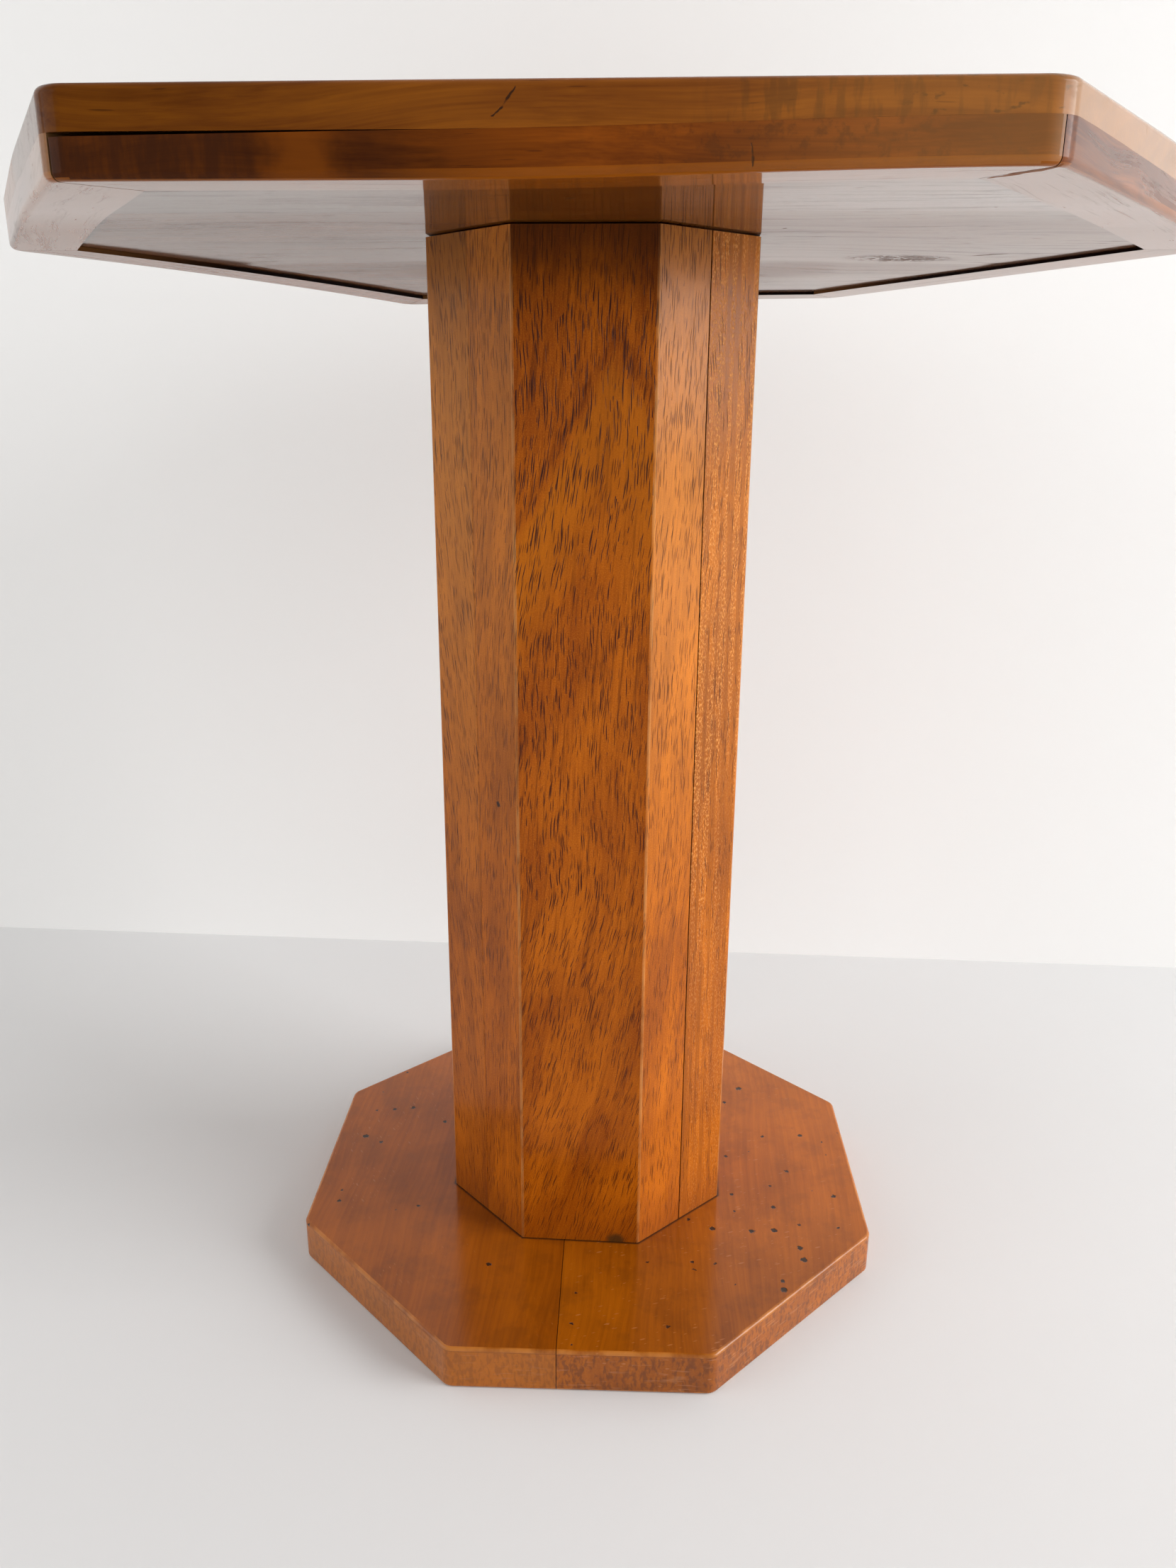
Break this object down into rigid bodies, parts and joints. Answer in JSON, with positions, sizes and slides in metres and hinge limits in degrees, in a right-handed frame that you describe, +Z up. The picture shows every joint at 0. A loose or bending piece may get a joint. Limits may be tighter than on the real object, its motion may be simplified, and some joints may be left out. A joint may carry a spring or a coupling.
{
  "type": "tilt top table",
  "caption": "Side table with a hexagonal top that tilts on a back hinge, an octagonal box column and an octagonal base, all in varnished wood.",
  "frame": {"origin": "on the floor, on the column's axis", "axes": "+Z up, front is -Y, the hinge is at the back (+Y), +X to the right seen from the front"},
  "size_m": [0.5868, 0.51, 0.5649],
  "materials": {
    "column_wood": "satin varnish over open-pored red-brown hardwood",
    "base_wood": "satin varnish over close-grained orange-brown hardwood",
    "top_wood": "glossy varnish over honey-brown hardwood",
    "rim_wood": "glossy varnish over mottled dark hardwood",
    "inner_wood": "unfinished softwood",
    "brass": "dull brass",
    "steel": "plain steel",
    "catch_plastic": "moulded brown plastic",
    "magnet": "dark ferrite"
  },
  "bodies": {
    "stand": {"base_board_left": "base_wood", "base_board_right": "base_wood", "base_dowel_front": "inner_wood", "base_dowel_middle": "inner_wood", "base_dowel_back": "inner_wood", "base_screw_1": "steel", "base_screw_2": "steel", "base_screw_3": "steel", "base_screw_4": "steel", "foot_block": "inner_wood", "head_block": "inner_wood", "glue_post_1": "inner_wood", "glue_post_2": "inner_wood", "glue_post_3": "inner_wood", "glue_post_4": "inner_wood", "column_board_front": "column_wood", "column_board_right": "column_wood", "column_board_back": "column_wood", "column_board_left": "column_wood", "catch_housing": "catch_plastic", "catch_magnet": "magnet", "catch_pole_front": "steel", "catch_pole_back": "steel", "catch_screw_left": "brass", "catch_screw_right": "brass", "hinge_leaf_column": "brass", "hinge_pin": "brass", "hinge_screw_column_1": "brass", "hinge_screw_column_2": "brass", "hinge_screw_column_3": "brass"},
    "top": {"top_plank_front": "top_wood", "top_plank_middle": "top_wood", "top_plank_back": "top_wood", "rim_strip_front": "rim_wood", "rim_strip_front_right": "rim_wood", "rim_strip_back_right": "rim_wood", "rim_strip_back": "rim_wood", "rim_strip_back_left": "rim_wood", "rim_strip_front_left": "rim_wood", "hinge_leaf_top": "brass", "hinge_screw_top_1": "brass", "hinge_screw_top_2": "brass", "hinge_screw_top_3": "brass", "catch_plate": "steel", "catch_plate_screw_left": "steel", "catch_plate_screw_right": "steel"}
  },
  "joints": [
    {"name": "top_tilt", "type": "hinge", "parent": "stand", "child": "top", "pos_m": [0, 0.0808, 0.5386], "axis": [-1, 0, 0], "range_deg": [0, 88]}
  ]
}
